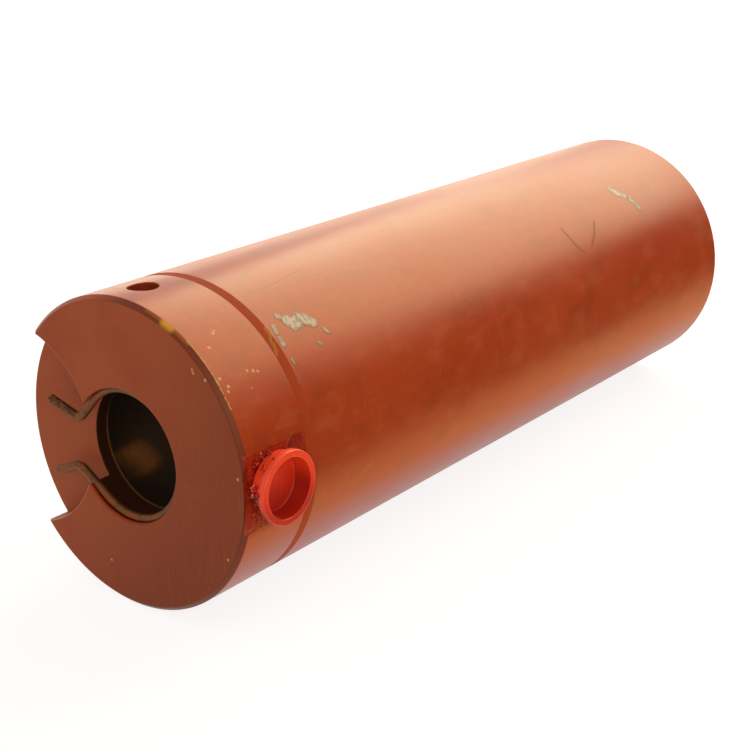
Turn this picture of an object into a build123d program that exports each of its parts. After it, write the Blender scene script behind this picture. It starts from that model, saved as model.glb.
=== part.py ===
"""Hydraulic jack: single acting, spring returned, with a ball socket held by a wire clip.

The axis of the barrel runs along +Y from the front face of the end head, where y is zero.
+X points out of the pressure port and +Z out of the upper spanner hole. Sizes are in mm.
"""
import os
from math import acos, asin, cos, degrees, radians, sin, sqrt

from build123d import *

os.makedirs("parts", exist_ok=True)

# Outer form
outer_dia = 140.0
body_length = 425.0
head_length = 38.0
face_chamfer = 2.0
joint_bevel_length = 5.0
joint_bevel_depth = 1.4
rim_chamfer = 1.2

# Barrel and its screwed joints
barrel_wall = 15.0
joint_thread_step = 4.0
head_thread_length = 36.0
gland_thread_length = 40.0
lead_chamfer = 2.0
thread_clearance = 0.1
spigot_clearance = 0.05

# Nose of the end head, which seals in the barrel
head_nose_length = 20.0
nose_groove_offset = 6.0
static_groove_depth = 4.4
o_ring_width = 5.8
backup_ring_width = 1.6
groove_side_clearance = 0.3
o_ring_corner = 1.9

# Ball socket
ball_dia = 60.0
ball_centre_depth = 10.0
ball_clearance = 0.2
seat_rim_depth = 17.7
seat_floor = 7.5
seat_clearance = 0.02
socket_chamfer = 0.6

# Wire clip in the socket's mouth
wire_dia = 4.0
clip_depth = 4.2
clip_ring_radius = 29.1
clip_upper_leg_angle = 15.75
clip_lower_leg_angle = -22.6
clip_upper_corner_step = 3.1
clip_lower_corner_step = 6.2
clip_leg_reach = 22.0
clip_bend_radius = 5.5
clip_groove_clearance = 0.12
clip_spring_room = 1.6

# Milled notch that leaves room for the clip's legs
notch_cutter_dia = 93.4
notch_centre_radius = 66.4
notch_depth = 12.0

# Pressure port
flat_depth = 2.1
port_offset = 18.2
port_bore_dia = 24.1
port_bore_depth = 18.0
port_drill_dia = 12.0
port_mouth_chamfer = 1.2
passage_land = 2.6
passage_dia = 8.0

# Spanner holes
spanner_hole_dia = 13.6
spanner_hole_depth = 15.0
spanner_hole_offset = 19.1
spanner_hole_turn = -2.6

# Protective plug in the port
plug_rim_dia = 32.0
plug_hollow_dia = 26.0
plug_hollow_depth = 8.4
plug_floor_thickness = 1.6
plug_rim_thickness = 3.4
plug_neck_dia = 28.8
plug_height = 8.8
plug_shank_length = 13.0
plug_shank_wall = 1.7
plug_shank_clearance = 0.3
plug_seat_gap = 0.3
plug_edge_radius = 0.9

# Ram
stroke = 100.0
rod_dia = 70.0
rod_end_stand_out = 3.0
rod_end_chamfer = 2.0
saddle_dia = 66.0
saddle_thickness = 15.0
saddle_edge = 2.0
saddle_groove_pitch = 5.0
saddle_groove_depth = 1.2
saddle_groove_count = 5
saddle_centre_dia = 16.0
saddle_stem_dia = 36.0
saddle_stem_length = 26.0
saddle_hole_clearance = 2.0

# Piston and what holds it on the rod
rest_gap = 0.3
piston_length = 45.0
piston_clearance = 0.4
piston_edge = 1.5
nut_stand_out = 2.7
nut_dia = 62.0
nut_thickness = 22.0
nut_recess_clearance = 2.0
nut_slot_width = 8.0
nut_slot_depth = 3.5
nut_slot_count = 4
rod_thread_dia = 42.0
rod_spigot_dia = 45.0
rod_fit_clearance = 0.03

# Piston seals and guides
seal_offset = 16.0
seal_width = 10.0
seal_depth = 7.5
seal_lip_depth = 4.5
seal_lip_width = 3.2
seal_backup_width = 2.2
seal_clearance = 0.08
guide_width = 8.0
guide_depth = 3.0
guide_clearance = 0.05
front_guide_offset = 4.5
rear_guide_offset = 34.0
rod_o_ring_offset = 32.0
rod_o_ring_width = 4.6
rod_groove_depth = 3.4

# Gland
gland_nose_length = 14.0
gland_recess = 1.0
gland_groove_offset = 4.0
gland_rod_clearance = 0.4
bush_wall = 4.0
bush_length = 30.0
bush_offset = 6.0
bush_clearance = 0.05
wiper_wall = 5.0
wiper_length = 7.0
wiper_clearance = 0.1
wiper_lip = 1.6
pin_hole_dia = 10.0
pin_hole_depth = 12.0
pin_hole_count = 4

# Breather of the spring chamber
vent_dia = 6.0
breather_thread_dia = 12.0
breather_thread_length = 10.0
breather_hex = 14.0
breather_hex_height = 4.0
breather_dome_dia = 9.0
breather_dome_height = 3.0

# Locking screws
gland_screw_dia = 8.0
gland_screw_length = 12.0
nut_screw_dia = 6.0
nut_screw_length = 9.0
screw_socket_depth = 4.0
screw_fit_clearance = 0.05
screw_seat_depth = 1.0

# Return spring and its washers; the coils keep a gap when the ram is fully out
spring_rod_gap = 4.0
spring_bore_gap = 4.0
spring_coil_gap = 5.0
spring_washer_thickness = 4.0
washer_clearance = 0.6

# Places worked out from the sizes above
outer_r = outer_dia / 2
bore_r = outer_r - barrel_wall
thread_r = bore_r + joint_thread_step
socket_r = ball_dia / 2
rod_r = rod_dia / 2
rod_thread_r = rod_thread_dia / 2
spigot_r = rod_spigot_dia / 2

head_thread_end = head_length + head_thread_length
nose_end = head_thread_end + head_nose_length
nose_r = bore_r - spigot_clearance
groove_floor_r = bore_r - static_groove_depth
passage_x = groove_floor_r - passage_land - passage_dia / 2
head_groove_start = head_thread_end + nose_groove_offset
static_groove_width = o_ring_width + backup_ring_width + 2 * groove_side_clearance

barrel_thread_start = body_length - gland_thread_length - gland_recess
gland_face = body_length - gland_recess
gland_start = barrel_thread_start - gland_nose_length
gland_groove_start = gland_start + gland_groove_offset

ram_start = nose_end + rest_gap
nut_end = ram_start + nut_thickness
piston_start = ram_start + nut_stand_out
piston_end = piston_start + piston_length
rod_end = body_length + rod_end_stand_out
saddle_face = rod_end + saddle_thickness
gland_rod_r = rod_r + gland_rod_clearance
wiper_r = rod_r + wiper_clearance + wiper_wall
face_hole_radius = (wiper_r + thread_r) / 2

front_washer_end = piston_end + spring_washer_thickness
rear_washer_start = gland_start - spring_washer_thickness
flat_x = outer_r - flat_depth
spring_length = rear_washer_start - front_washer_end
spring_wire_dia = bore_r - rod_r - spring_rod_gap - spring_bore_gap
spring_turns = (spring_length - stroke) / (spring_wire_dia + spring_coil_gap)


def ring_section(inner, outer, start, end):
    """Rectangle between two radii and two places along the axis, for a revolve about Y."""
    with Locations((inner, start)):
        Rectangle(outer - inner, end - start, align=(Align.MIN, Align.MIN))


def end_plane(place):
    """Plane square to the axis at a place along it, seen from the front with +Z up."""
    return Plane(origin=(0, place, 0), x_dir=(1, 0, 0), z_dir=(0, -1, 0))


def finish(part, label):
    part.label = label
    export_step(part, f"parts/{label}.step")


# Barrel: a plain tube with a screwed joint at each end
with BuildPart() as barrel:
    with BuildSketch():
        with BuildLine():
            Polyline(
                (thread_r + thread_clearance, head_length),
                (outer_r - joint_bevel_depth, head_length),
                (outer_r, head_length + joint_bevel_length),
                (outer_r, body_length - rim_chamfer),
                (outer_r - rim_chamfer, body_length),
                (thread_r + thread_clearance + lead_chamfer, body_length),
                (thread_r + thread_clearance, body_length - lead_chamfer),
                (thread_r + thread_clearance, barrel_thread_start),
                (bore_r, barrel_thread_start),
                (bore_r, head_thread_end),
                (thread_r + thread_clearance, head_thread_end),
                close=True,
            )
        make_face()
    revolve(axis=Axis.Y)
    # Half of the lock screw's hole on the thread line of the gland
    with BuildSketch(end_plane(body_length)):
        with Locations((0, -thread_r)):
            Circle(gland_screw_dia / 2)
    extrude(amount=gland_recess + screw_seat_depth + gland_screw_length, mode=Mode.SUBTRACT)
finish(barrel.part, "barrel")


# End head: closes the barrel and carries the ball socket, the notch and the port
seat_end = ball_centre_depth + socket_r + ball_clearance + seat_floor
clip_groove_r = clip_ring_radius + wire_dia / 2 + clip_spring_room
clip_groove_half = wire_dia / 2 + clip_groove_clearance
with BuildPart() as end_head:
    with BuildSketch():
        with BuildLine():
            Polyline(
                (0, seat_end),
                (socket_r, seat_end),
                (socket_r, clip_depth + clip_groove_half),
                (clip_groove_r, clip_depth + clip_groove_half),
                (clip_groove_r, clip_depth - clip_groove_half),
                (socket_r, clip_depth - clip_groove_half),
                (socket_r, socket_chamfer),
                (socket_r + socket_chamfer, 0),
                (outer_r - face_chamfer, 0),
                (outer_r, face_chamfer),
                (outer_r, head_length),
                (thread_r, head_length),
                (thread_r, head_thread_end - lead_chamfer),
                (nose_r, head_thread_end),
                (nose_r, head_groove_start),
                (groove_floor_r, head_groove_start),
                (groove_floor_r, head_groove_start + static_groove_width),
                (nose_r, head_groove_start + static_groove_width),
                (nose_r, nose_end - lead_chamfer),
                (nose_r - lead_chamfer, nose_end),
                (0, nose_end),
                close=True,
            )
        make_face()
    revolve(axis=Axis.Y)
    # Notch, milled with a large cutter from the edge of the face into the socket
    with BuildSketch(end_plane(0)):
        with Locations((-notch_centre_radius, 0)):
            Circle(notch_cutter_dia / 2)
    extrude(amount=-notch_depth, mode=Mode.SUBTRACT)
    # Flat for the port, milled from the front face to the joint
    with BuildSketch(Plane.YZ.offset(flat_x)):
        with Locations((head_length / 2, 0)):
            Rectangle(head_length, outer_dia)
    extrude(amount=flat_depth, mode=Mode.SUBTRACT)
    # Port, its drilling and the passage to the pressure chamber
    with BuildSketch(Plane.YZ.offset(flat_x)):
        with Locations((port_offset, 0)):
            Circle(port_bore_dia / 2)
    extrude(amount=-port_bore_depth, mode=Mode.SUBTRACT)
    with BuildSketch(Plane.YZ.offset(flat_x - port_bore_depth)):
        with Locations((port_offset, 0)):
            Circle(port_drill_dia / 2)
    drill_end = passage_x - passage_dia / 2
    extrude(amount=-(flat_x - port_bore_depth - drill_end), mode=Mode.SUBTRACT)
    with BuildSketch(end_plane(nose_end)):
        with Locations((passage_x, 0)):
            Circle(passage_dia / 2)
    extrude(amount=nose_end - port_offset, mode=Mode.SUBTRACT)
    # Spanner holes, one on each side, turned a little from the top towards the notch
    turn = radians(spanner_hole_turn)
    for side in (1, -1):
        out = (side * sin(turn), 0, side * cos(turn))
        with BuildSketch(Plane(origin=(0, 0, 0), x_dir=(0, 1, 0), z_dir=out).offset(outer_r)):
            with Locations((spanner_hole_offset, 0)):
                Circle(spanner_hole_dia / 2)
        extrude(amount=-spanner_hole_depth, mode=Mode.SUBTRACT)
    port_mouth = (
        end_head.edges()
        .filter_by(GeomType.CIRCLE)
        .filter_by_position(Axis.X, flat_x - 0.01, flat_x + 0.01)
    )
    chamfer(port_mouth, port_mouth_chamfer)
finish(end_head.part, "end_head")


# Ball seat: a hard cup with a spherical face, pressed into the bottom of the socket
seat_sphere_r = socket_r + ball_clearance
seat_rim_r = sqrt(seat_sphere_r**2 - (seat_rim_depth - ball_centre_depth) ** 2)
seat_r = socket_r - seat_clearance
with BuildPart() as ball_seat:
    with BuildSketch():
        with BuildLine():
            bottom = (0, ball_centre_depth + seat_sphere_r)
            rim = (seat_rim_r, seat_rim_depth)
            rim_angle = degrees(asin((seat_rim_depth - ball_centre_depth) / seat_sphere_r))
            middle_angle = radians((90 + rim_angle) / 2)
            middle = (
                seat_sphere_r * cos(middle_angle),
                ball_centre_depth + seat_sphere_r * sin(middle_angle),
            )
            ThreePointArc(bottom, middle, rim)
            Polyline(rim, (seat_r, seat_rim_depth), (seat_r, seat_end), (0, seat_end), bottom)
        make_face()
    revolve(axis=Axis.Y)
finish(ball_seat.part, "ball_seat")


def clip_point(radius, angle):
    """Point of the clip at a radius and an angle above the side that faces the notch."""
    turn = radians(180 - angle)
    return (radius * cos(turn), radius * sin(turn))


# Socket clip: one spring wire, bent to a ring with two legs that lie in the notch
clip_legs = (
    (clip_upper_leg_angle, clip_ring_radius + clip_upper_corner_step, 1),
    (clip_lower_leg_angle, clip_ring_radius + clip_lower_corner_step, -1),
)
with BuildPart() as socket_clip:
    with BuildLine(end_plane(clip_depth)) as clip_path:
        ring_angles = []
        corners = []
        for leg_angle, corner_radius, side in clip_legs:
            # The wire leaves the ring along its tangent and meets the radial leg at a corner
            swing = degrees(acos(clip_ring_radius / corner_radius))
            ring_angle = leg_angle + side * swing
            corner = clip_point(corner_radius, leg_angle)
            Line(clip_point(clip_ring_radius + clip_leg_reach, leg_angle), corner)
            Line(corner, clip_point(clip_ring_radius, ring_angle))
            ring_angles.append(ring_angle)
            corners.append(Vector(corner[0], 0, corner[1]))
        gap_angle = ring_angles[0] - ring_angles[1]
        CenterArc((0, 0), clip_ring_radius, 180 - ring_angles[1], 360 - gap_angle)
    clip_wire = clip_path.wires()[0]
    bends = [
        vertex
        for vertex in clip_wire.vertices()
        if min((Vector(vertex.X, 0, vertex.Z) - corner).length for corner in corners) < 0.01
    ]
    clip_wire = clip_wire.fillet_2d(clip_bend_radius, bends)
    with BuildSketch(Plane(origin=clip_wire @ 0, z_dir=clip_wire % 0)):
        Circle(wire_dia / 2)
    sweep(path=clip_wire)
finish(socket_clip.part, "socket_clip")


# Static seals of the end head and the gland
with BuildPart() as head_o_ring:
    with BuildSketch():
        ring_start = head_groove_start + backup_ring_width + 2 * groove_side_clearance
        with Locations(((groove_floor_r + bore_r) / 2, ring_start + o_ring_width / 2)):
            RectangleRounded(static_groove_depth, o_ring_width, o_ring_corner)
    revolve(axis=Axis.Y)
finish(head_o_ring.part, "head_o_ring")

with BuildPart() as head_backup_ring:
    with BuildSketch():
        backup_start = head_groove_start + groove_side_clearance
        ring_section(groove_floor_r, bore_r, backup_start, backup_start + backup_ring_width)
    revolve(axis=Axis.Y)
finish(head_backup_ring.part, "head_backup_ring")


# Port plug: a moulded cup with a wide rim, pushed into the port
port_r = port_bore_dia / 2
shank_r = port_r - plug_shank_clearance
plug_plane = Plane(origin=(flat_x, port_offset, 0), x_dir=(0, 1, 0), z_dir=(0, 0, -1))
with BuildPart() as port_plug:
    hollow_floor = plug_height - plug_hollow_depth
    web_end = hollow_floor - plug_floor_thickness
    with BuildSketch(plug_plane):
        with BuildLine():
            Polyline(
                (0, hollow_floor),
                (0, web_end),
                (shank_r - plug_shank_wall, web_end),
                (shank_r - plug_shank_wall, -plug_shank_length),
                (shank_r - plug_edge_radius, -plug_shank_length),
                (shank_r, plug_edge_radius - plug_shank_length),
                (shank_r, plug_seat_gap),
                (plug_neck_dia / 2, plug_seat_gap),
                (plug_neck_dia / 2, plug_height - plug_rim_thickness),
                (plug_rim_dia / 2, plug_height - plug_rim_thickness),
                (plug_rim_dia / 2, plug_height),
                (plug_hollow_dia / 2, plug_height),
                (plug_hollow_dia / 2 - plug_edge_radius, hollow_floor),
                close=True,
            )
        make_face()
    revolve(axis=Axis(origin=(flat_x, port_offset, 0), direction=(1, 0, 0)))
    rim_edges = (
        port_plug.edges()
        .filter_by(GeomType.CIRCLE)
        .filter_by_position(Axis.X, flat_x + plug_height - 0.01, flat_x + plug_height + 0.01)
    )
    fillet(rim_edges, plug_edge_radius)
finish(port_plug.part, "port_plug")


# Gland: screwed into the far end, guides the rod and closes the spring chamber
bush_start = gland_start + bush_offset
bush_end = bush_start + bush_length
bush_r = rod_r + bush_clearance + bush_wall
wiper_start = gland_face - wiper_length
with BuildPart() as gland:
    with BuildSketch():
        with BuildLine():
            Polyline(
                (gland_rod_r, gland_start),
                (nose_r, gland_start),
                (nose_r, gland_groove_start),
                (groove_floor_r, gland_groove_start),
                (groove_floor_r, gland_groove_start + o_ring_width + 2 * groove_side_clearance),
                (nose_r, gland_groove_start + o_ring_width + 2 * groove_side_clearance),
                (nose_r, barrel_thread_start),
                (thread_r, barrel_thread_start),
                (thread_r, gland_face - rim_chamfer),
                (thread_r - rim_chamfer, gland_face),
                (wiper_r, gland_face),
                (wiper_r, wiper_start),
                (gland_rod_r, wiper_start),
                (gland_rod_r, bush_end),
                (bush_r, bush_end),
                (bush_r, bush_start),
                (gland_rod_r, bush_start),
                close=True,
            )
        make_face()
    revolve(axis=Axis.Y)
    with BuildSketch(end_plane(gland_face)):
        with PolarLocations(face_hole_radius, pin_hole_count, start_angle=180 / pin_hole_count):
            Circle(pin_hole_dia / 2)
    extrude(amount=pin_hole_depth, mode=Mode.SUBTRACT)
    with BuildSketch(end_plane(gland_face)):
        with Locations((0, face_hole_radius)):
            Circle(vent_dia / 2)
    extrude(amount=gland_face - gland_start, mode=Mode.SUBTRACT)
    with BuildSketch(end_plane(gland_face)):
        with Locations((0, face_hole_radius)):
            Circle(breather_thread_dia / 2 + screw_fit_clearance)
    extrude(amount=breather_thread_length, mode=Mode.SUBTRACT)
    with BuildSketch(end_plane(gland_face)):
        with Locations((0, -thread_r)):
            Circle(gland_screw_dia / 2)
    extrude(amount=screw_seat_depth + gland_screw_length, mode=Mode.SUBTRACT)
finish(gland.part, "gland")

with BuildPart() as gland_o_ring:
    with BuildSketch():
        ring_start = gland_groove_start + groove_side_clearance
        with Locations(((groove_floor_r + bore_r) / 2, ring_start + o_ring_width / 2)):
            RectangleRounded(static_groove_depth, o_ring_width, o_ring_corner)
    revolve(axis=Axis.Y)
finish(gland_o_ring.part, "gland_o_ring")

with BuildPart() as rod_bush:
    with BuildSketch():
        ring_section(rod_r + bush_clearance, bush_r, bush_start, bush_end)
    revolve(axis=Axis.Y)
finish(rod_bush.part, "rod_bush")

with BuildPart() as rod_wiper:
    with BuildSketch():
        with BuildLine():
            Polyline(
                (rod_r + wiper_clearance + wiper_lip, wiper_start),
                (wiper_r, wiper_start),
                (wiper_r, gland_face),
                (rod_r + wiper_clearance + wiper_lip, gland_face),
                (rod_r + wiper_clearance, gland_face + wiper_lip),
                (rod_r + wiper_clearance, gland_face),
                close=True,
            )
        make_face()
    revolve(axis=Axis.Y)
finish(rod_wiper.part, "rod_wiper")


# Breather: hexagon screw with a porous dome, in the mouth of the vent
with BuildPart() as breather:
    with BuildSketch(end_plane(gland_face)):
        with Locations((0, face_hole_radius)):
            RegularPolygon(breather_hex / 2, 6, major_radius=False)
    extrude(amount=-breather_hex_height)
    with BuildSketch(end_plane(gland_face)):
        with Locations((0, face_hole_radius)):
            Circle(breather_thread_dia / 2)
    extrude(amount=breather_thread_length)
    with BuildSketch(end_plane(gland_face + breather_hex_height)):
        with Locations((0, face_hole_radius)):
            Circle(breather_dome_dia / 2)
    extrude(amount=-breather_dome_height)
    chamfer(breather.faces().sort_by(Axis.Y)[-1].edges(), breather_dome_height / 3)
    with BuildSketch(end_plane(gland_face - breather_thread_length)):
        with Locations((0, face_hole_radius)):
            Circle(vent_dia / 2)
    extrude(amount=-breather_thread_length, mode=Mode.SUBTRACT)
finish(breather.part, "breather")


with BuildPart() as gland_lock_screw:
    with BuildSketch(end_plane(gland_face - screw_seat_depth)):
        with Locations((0, -thread_r)):
            Circle(gland_screw_dia / 2 - screw_fit_clearance)
    extrude(amount=gland_screw_length)
    with BuildSketch(end_plane(gland_face - screw_seat_depth)):
        with Locations((0, -thread_r)):
            RegularPolygon(gland_screw_dia / 4, 6, major_radius=False)
    extrude(amount=screw_socket_depth, mode=Mode.SUBTRACT)
finish(gland_lock_screw.part, "gland_lock_screw")


# Piston rod: threaded spigot for the piston, plain stem, tapped end for the saddle
rod_plug_r = saddle_stem_dia / 2
rod_hole_depth = saddle_stem_length + saddle_hole_clearance
with BuildPart() as piston_rod:
    with BuildSketch():
        with BuildLine():
            Polyline(
                (0, ram_start),
                (rod_thread_r - lead_chamfer, ram_start),
                (rod_thread_r, ram_start + lead_chamfer),
                (rod_thread_r, nut_end),
                (spigot_r, nut_end),
                (spigot_r, piston_end),
                (rod_r, piston_end),
                (rod_r, rod_end - rod_end_chamfer),
                (rod_r - rod_end_chamfer, rod_end),
                (rod_plug_r, rod_end),
                (rod_plug_r, rod_end - rod_hole_depth),
                (0, rod_end - rod_hole_depth - rod_plug_r / 2),
                close=True,
            )
        make_face()
    revolve(axis=Axis.Y)
    with BuildSketch(end_plane(ram_start)):
        with Locations((0, rod_thread_r)):
            Circle(nut_screw_dia / 2)
    extrude(amount=-(screw_seat_depth + nut_screw_length), mode=Mode.SUBTRACT)
finish(piston_rod.part, "piston_rod")


# Saddle: grooved load face with a stem screwed into the rod
with BuildPart() as saddle:
    with BuildSketch():
        with BuildLine():
            Polyline(
                (0, rod_end - saddle_stem_length),
                (rod_plug_r - thread_clearance - rim_chamfer, rod_end - saddle_stem_length),
                (rod_plug_r - thread_clearance, rod_end - saddle_stem_length + rim_chamfer),
                (rod_plug_r - thread_clearance, rod_end),
                (saddle_dia / 2 - saddle_edge / 2, rod_end),
                (saddle_dia / 2, rod_end + saddle_edge / 2),
                (saddle_dia / 2, saddle_face - saddle_edge),
                (saddle_dia / 2 - saddle_edge, saddle_face),
                (0, saddle_face),
                close=True,
            )
        make_face()
        # Ring grooves that grip the load
        for ring in range(saddle_groove_count):
            groove_r = saddle_centre_dia / 2 + ring * saddle_groove_pitch
            with BuildLine():
                Polyline(
                    (groove_r - saddle_groove_depth, saddle_face),
                    (groove_r, saddle_face - saddle_groove_depth),
                    (groove_r + saddle_groove_depth, saddle_face),
                    close=True,
                )
            make_face(mode=Mode.SUBTRACT)
    revolve(axis=Axis.Y)
finish(saddle.part, "saddle")


# Piston: carries the seal and two guide rings, with a recess for its nut
nut_recess_r = nut_dia / 2 + nut_recess_clearance
piston_r = bore_r - piston_clearance
guide_floor_r = bore_r - guide_depth
seal_floor_r = bore_r - seal_depth
seal_start = piston_start + seal_offset
seal_groove_end = seal_start + seal_width + seal_backup_width + 2 * groove_side_clearance
front_guide_start = piston_start + front_guide_offset
rear_guide_start = piston_start + rear_guide_offset
guide_groove_width = guide_width + 2 * groove_side_clearance
rod_ring_start = piston_start + rod_o_ring_offset
rod_ring_end = rod_ring_start + rod_o_ring_width + 2 * groove_side_clearance
piston_bore_r = spigot_r + rod_fit_clearance
rod_ring_floor_r = spigot_r + rod_groove_depth
with BuildPart() as piston:
    with BuildSketch():
        with BuildLine():
            Polyline(
                (piston_bore_r, nut_end),
                (nut_recess_r, nut_end),
                (nut_recess_r, piston_start),
                (piston_r - piston_edge, piston_start),
                (piston_r, piston_start + piston_edge),
                (piston_r, front_guide_start),
                (guide_floor_r, front_guide_start),
                (guide_floor_r, front_guide_start + guide_groove_width),
                (piston_r, front_guide_start + guide_groove_width),
                (piston_r, seal_start),
                (seal_floor_r, seal_start),
                (seal_floor_r, seal_groove_end),
                (piston_r, seal_groove_end),
                (piston_r, rear_guide_start),
                (guide_floor_r, rear_guide_start),
                (guide_floor_r, rear_guide_start + guide_groove_width),
                (piston_r, rear_guide_start + guide_groove_width),
                (piston_r, piston_end - piston_edge),
                (piston_r - piston_edge, piston_end),
                (piston_bore_r, piston_end),
                (piston_bore_r, rod_ring_end),
                (rod_ring_floor_r, rod_ring_end),
                (rod_ring_floor_r, rod_ring_start),
                (piston_bore_r, rod_ring_start),
                close=True,
            )
        make_face()
    revolve(axis=Axis.Y)
finish(piston.part, "piston")

with BuildPart() as piston_nut:
    with BuildSketch():
        ring_section(rod_thread_r + rod_fit_clearance, nut_dia / 2, ram_start, nut_end)
    revolve(axis=Axis.Y)
    # Spanner slots round the rim
    with BuildSketch(end_plane(ram_start)):
        with PolarLocations(nut_dia / 2, nut_slot_count, start_angle=180 / nut_slot_count):
            Rectangle(2 * nut_slot_depth, nut_slot_width)
    extrude(amount=-nut_thickness, mode=Mode.SUBTRACT)
    with BuildSketch(end_plane(ram_start)):
        with Locations((0, rod_thread_r)):
            Circle(nut_screw_dia / 2)
    extrude(amount=-(screw_seat_depth + nut_screw_length), mode=Mode.SUBTRACT)
finish(piston_nut.part, "piston_nut")

with BuildPart() as nut_lock_screw:
    with BuildSketch(end_plane(ram_start + screw_seat_depth)):
        with Locations((0, rod_thread_r)):
            Circle(nut_screw_dia / 2 - screw_fit_clearance)
    extrude(amount=-nut_screw_length)
    with BuildSketch(end_plane(ram_start + screw_seat_depth)):
        with Locations((0, rod_thread_r)):
            RegularPolygon(nut_screw_dia / 4, 6, major_radius=False)
    extrude(amount=-screw_socket_depth, mode=Mode.SUBTRACT)
finish(nut_lock_screw.part, "nut_lock_screw")

# Piston seal: a lip ring whose channel faces the pressure
seal_r = bore_r - seal_clearance
seal_body_start = seal_start + groove_side_clearance
with BuildPart() as piston_seal:
    with BuildSketch():
        ring_section(seal_floor_r, seal_r, seal_body_start, seal_body_start + seal_width)
        channel_middle = (seal_floor_r + seal_r) / 2
        with BuildLine():
            Polyline(
                (channel_middle - seal_lip_width / 2, seal_body_start),
                (channel_middle, seal_body_start + seal_lip_depth),
                (channel_middle + seal_lip_width / 2, seal_body_start),
                close=True,
            )
        make_face(mode=Mode.SUBTRACT)
    revolve(axis=Axis.Y)
finish(piston_seal.part, "piston_seal")

with BuildPart() as seal_backup_ring:
    with BuildSketch():
        backup_start = seal_body_start + seal_width
        ring_section(seal_floor_r, seal_r, backup_start, backup_start + seal_backup_width)
    revolve(axis=Axis.Y)
finish(seal_backup_ring.part, "seal_backup_ring")

with BuildPart() as piston_guide_rings:
    with BuildSketch():
        for start in (front_guide_start, rear_guide_start):
            guide_start = start + groove_side_clearance
            ring_section(guide_floor_r, bore_r - guide_clearance, guide_start, guide_start + guide_width)
    revolve(axis=Axis.Y)
finish(piston_guide_rings.part, "piston_guide_rings")

with BuildPart() as rod_o_ring:
    with BuildSketch():
        ring_middle = rod_ring_start + groove_side_clearance + rod_o_ring_width / 2
        with Locations(((spigot_r + rod_ring_floor_r) / 2, ring_middle)):
            RectangleRounded(rod_groove_depth, rod_o_ring_width, o_ring_corner * 0.8)
    revolve(axis=Axis.Y)
finish(rod_o_ring.part, "rod_o_ring")


# Return spring between two washers
washer_inner_r = rod_r + washer_clearance
washer_outer_r = bore_r - washer_clearance
with BuildPart() as front_spring_washer:
    with BuildSketch():
        ring_section(washer_inner_r, washer_outer_r, piston_end, front_washer_end)
    revolve(axis=Axis.Y)
finish(front_spring_washer.part, "front_spring_washer")

with BuildPart() as rear_spring_washer:
    with BuildSketch():
        ring_section(washer_inner_r, washer_outer_r, rear_washer_start, gland_start)
    revolve(axis=Axis.Y)
    with BuildSketch(end_plane(rear_washer_start)):
        with Locations((0, face_hole_radius)):
            Circle(vent_dia / 2)
    extrude(amount=-spring_washer_thickness, mode=Mode.SUBTRACT)
finish(rear_spring_washer.part, "rear_spring_washer")

spring_r = rod_r + spring_rod_gap + spring_wire_dia / 2
with BuildPart() as return_spring:
    with BuildLine() as spring_path:
        Helix(
            pitch=spring_length / spring_turns,
            height=spring_length,
            radius=spring_r,
            center=(0, front_washer_end, 0),
            direction=(0, 1, 0),
        )
    with BuildSketch(Plane(origin=spring_path.line @ 0, z_dir=spring_path.line % 0)):
        Circle(spring_wire_dia / 2)
    sweep(path=spring_path.line, is_frenet=True)
    # Both ends are ground flat on the washers
    split(bisect_by=end_plane(front_washer_end), keep=Keep.BOTTOM)
    split(bisect_by=end_plane(rear_washer_start), keep=Keep.TOP)
finish(return_spring.part, "return_spring")
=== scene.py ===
from math import acos, cos, degrees, pi, radians, sin, tan

import bmesh
import bpy
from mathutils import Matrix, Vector


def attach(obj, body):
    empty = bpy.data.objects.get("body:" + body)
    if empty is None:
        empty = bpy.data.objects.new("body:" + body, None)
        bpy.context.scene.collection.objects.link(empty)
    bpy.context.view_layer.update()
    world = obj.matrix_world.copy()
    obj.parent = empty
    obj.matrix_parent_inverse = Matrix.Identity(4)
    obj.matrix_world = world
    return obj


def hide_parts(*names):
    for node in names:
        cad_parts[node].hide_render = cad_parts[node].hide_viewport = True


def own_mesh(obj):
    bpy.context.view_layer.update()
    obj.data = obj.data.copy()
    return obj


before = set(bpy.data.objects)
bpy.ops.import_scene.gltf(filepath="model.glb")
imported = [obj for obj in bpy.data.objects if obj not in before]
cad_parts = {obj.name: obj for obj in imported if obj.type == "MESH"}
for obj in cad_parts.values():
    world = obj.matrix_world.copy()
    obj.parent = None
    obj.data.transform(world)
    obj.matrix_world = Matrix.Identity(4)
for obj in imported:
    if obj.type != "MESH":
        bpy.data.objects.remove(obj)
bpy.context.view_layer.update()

# Sizes are in millimetres; the barrel's axis is +Y from the front face, +X the port, +Z up
mm = 0.001
outerRadius = 70.0
headLength = 38.0
bodyLength = 425.0
mergeDistance = 0.002 * mm
onAxis = 0.001      # a radius under this is on the axis

print("helpers")


def hexColour(code):
    channels = []
    for place in (0, 2, 4):
        value = int(code[place:place + 2], 16) / 255
        channels.append(value / 12.92 if value <= 0.04045 else ((value + 0.055) / 1.055) ** 2.4)
    return (*channels, 1.0)


def addNode(tree, kind, inputs=None, **options):
    # An input takes a number, a colour, a socket, or a node for its first live output
    node = tree.nodes.new(kind)
    for name, value in options.items():
        setattr(node, name, value)
    for name, value in (inputs or {}).items():
        if isinstance(value, bpy.types.Node):
            value = next(socket for socket in value.outputs if socket.enabled)
        if isinstance(value, bpy.types.NodeSocket):
            tree.links.new(value, node.inputs[name])
        else:
            node.inputs[name].default_value = value
    return node


def newMaterial(name):
    material = bpy.data.materials.new(name)
    material.use_nodes = True
    material.node_tree.nodes.clear()
    return material, material.node_tree


def onSide(place, angle):
    # Point on the outside: millimetres from the front face, degrees from the top towards the port
    turn = radians(angle)
    return Vector((outerRadius * sin(turn), place, outerRadius * cos(turn)))


def onFace(x, z):
    return Vector((x, 0, z))


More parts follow.
